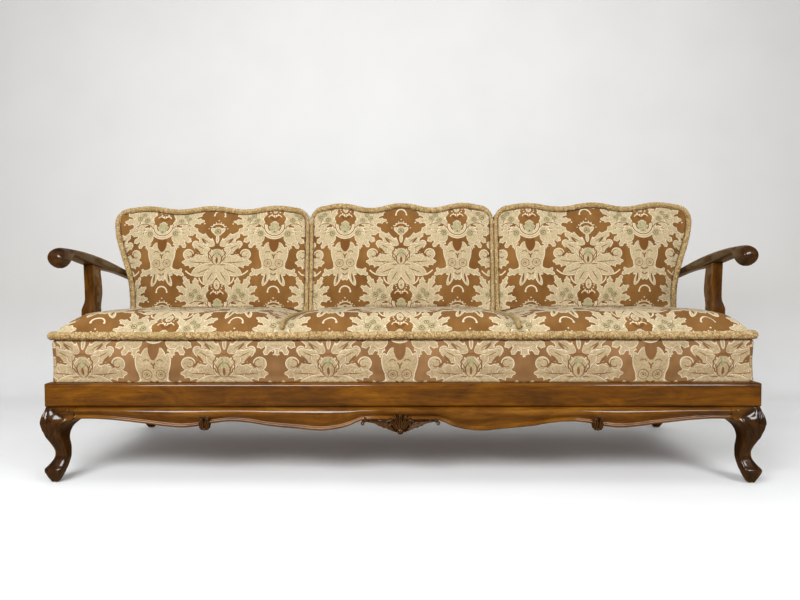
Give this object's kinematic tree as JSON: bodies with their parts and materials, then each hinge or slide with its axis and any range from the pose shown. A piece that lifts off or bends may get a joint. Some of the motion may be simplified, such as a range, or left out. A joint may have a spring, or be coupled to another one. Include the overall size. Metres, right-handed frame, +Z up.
{
  "type": "cabriole sofa",
  "caption": "Show-wood sofa with a carved serpentine apron on cabriole legs, scroll arms, an open slatted back, a long seat mattress and loose back cushions trimmed with moss fringe.",
  "frame": {"origin": "on the floor, under the middle of the sofa's bounding box", "axes": "+X along the seat to the sitter's left (the viewer's right), -Y is the front, +Z up"},
  "size_m": [2.164, 0.7415, 0.8852],
  "materials": {
    "walnut_amber": "glossy amber-brown lacquer",
    "walnut_dark": "glossy dark walnut lacquer",
    "carving": "dark lacquer with gilded high spots",
    "beech": "plain, unfinished",
    "zinc_steel": "zinc plated",
    "glide": "matt, off-white",
    "velour": "damask velour, cream leaves on a caramel ground",
    "moss_fringe": "soft moss fringe"
  },
  "bodies": {
    "frame": {"front_apron": "walnut_dark", "rear_apron": "walnut_dark", "left_apron": "walnut_dark", "right_apron": "walnut_dark", "front_left_leg": "walnut_dark", "front_right_leg": "walnut_dark", "rear_left_leg": "walnut_dark", "rear_right_leg": "walnut_dark", "foot_glides": "glide", "shell_carving": "carving", "leaf_carvings": "carving", "base_cross_rails": "beech", "corner_braces": "beech", "leg_bolts": "zinc_steel", "box_front_rail": "walnut_amber", "box_rear_rail": "walnut_amber", "box_left_rail": "walnut_amber", "box_right_rail": "walnut_amber", "box_dowels": "beech", "front_slat_ledge": "beech", "rear_slat_ledges": "beech", "bed_slats": "beech", "left_arm_post": "walnut_dark", "right_arm_post": "walnut_dark", "arm_bolts": "zinc_steel", "arm_inserts": "zinc_steel", "arm_dowels": "beech", "arm_screws": "zinc_steel", "left_armrest": "walnut_dark", "right_armrest": "walnut_dark", "left_end_post": "walnut_dark", "right_end_post": "walnut_dark", "left_mid_post": "walnut_dark", "right_mid_post": "walnut_dark", "back_bolts": "zinc_steel", "back_inserts": "zinc_steel", "left_crest_rail": "walnut_dark", "middle_crest_rail": "walnut_dark", "right_crest_rail": "walnut_dark", "lower_back_rails": "walnut_dark", "back_slats": "beech"},
    "seat": {"seat_mattress": "velour", "seat_fringe": "moss_fringe", "seat_strips": "moss_fringe"},
    "left_cushion": {"left_back_cushion": "velour", "left_back_fringe": "moss_fringe"},
    "middle_cushion": {"middle_back_cushion": "velour", "middle_back_fringe": "moss_fringe"},
    "right_cushion": {"right_back_cushion": "velour", "right_back_fringe": "moss_fringe"}
  },
  "joints": [
    {"name": "seat_lift", "type": "slide", "parent": "frame", "child": "seat", "axis": [0, 0, 1], "range_m": [0, 0.15]},
    {"name": "left_cushion_lift", "type": "slide", "parent": "seat", "child": "left_cushion", "axis": [0, 0, 1], "range_m": [0, 0.4]},
    {"name": "middle_cushion_lift", "type": "slide", "parent": "seat", "child": "middle_cushion", "axis": [0, 0, 1], "range_m": [0, 0.4]},
    {"name": "right_cushion_lift", "type": "slide", "parent": "seat", "child": "right_cushion", "axis": [0, 0, 1], "range_m": [0, 0.4]}
  ]
}
